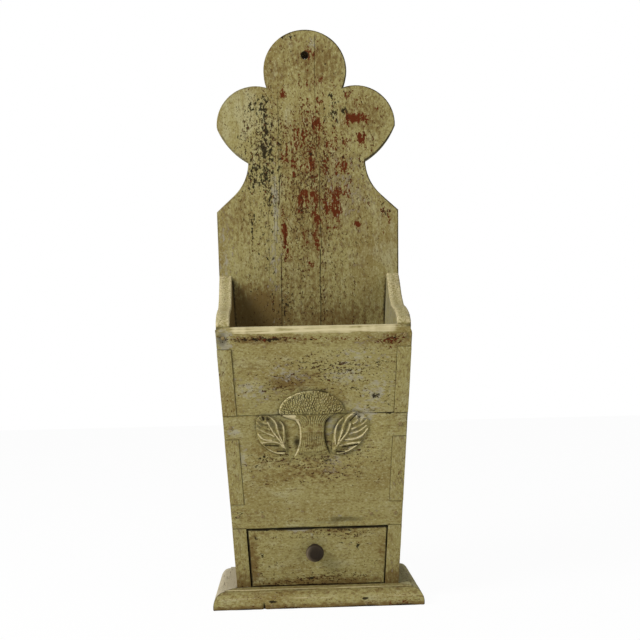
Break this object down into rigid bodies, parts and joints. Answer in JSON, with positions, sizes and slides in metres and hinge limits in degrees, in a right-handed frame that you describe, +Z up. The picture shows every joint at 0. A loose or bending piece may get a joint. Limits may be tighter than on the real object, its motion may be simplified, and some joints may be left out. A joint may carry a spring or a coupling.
{
  "type": "salt box",
  "caption": "Open wall box for salt with a lobed back board, splayed sides, a leaning front carved with a wheat sheaf, and a small drawer above a moulded plinth.",
  "frame": {"origin": "centre of the base's underside", "axes": "+Z up, -Y out of the carved front towards the user, +Y towards the wall, +X to the user's right"},
  "size_m": [0.205, 0.1481, 0.6069],
  "materials": {
    "painted_pine": "old yellow-green oil paint, worn through to red-brown and black coats and to grey wood",
    "bare_pine": "unpainted pine, darkened by age",
    "turned_knob": "turned hardwood, dark from handling",
    "iron_nails": "rusted forged iron"
  },
  "bodies": {
    "carcase": {"back_board": "painted_pine", "left_side": "painted_pine", "right_side": "painted_pine", "upper_front_board": "painted_pine", "lower_front_board": "painted_pine", "compartment_floor": "bare_pine", "bottom_board": "bare_pine", "base_front_moulding": "painted_pine", "base_left_moulding": "painted_pine", "base_right_moulding": "painted_pine", "front_nails": "iron_nails", "back_nails": "iron_nails", "base_nails": "iron_nails", "bottom_nails": "iron_nails"},
    "drawer": {"drawer_front": "painted_pine", "drawer_left_side": "bare_pine", "drawer_right_side": "bare_pine", "drawer_back": "bare_pine", "drawer_bottom": "bare_pine", "drawer_knob": "turned_knob", "drawer_nails": "iron_nails"}
  },
  "joints": [
    {"name": "drawer_slide", "type": "slide", "parent": "carcase", "child": "drawer", "axis": [0, -1, 0], "range_m": [0, 0.065]}
  ]
}
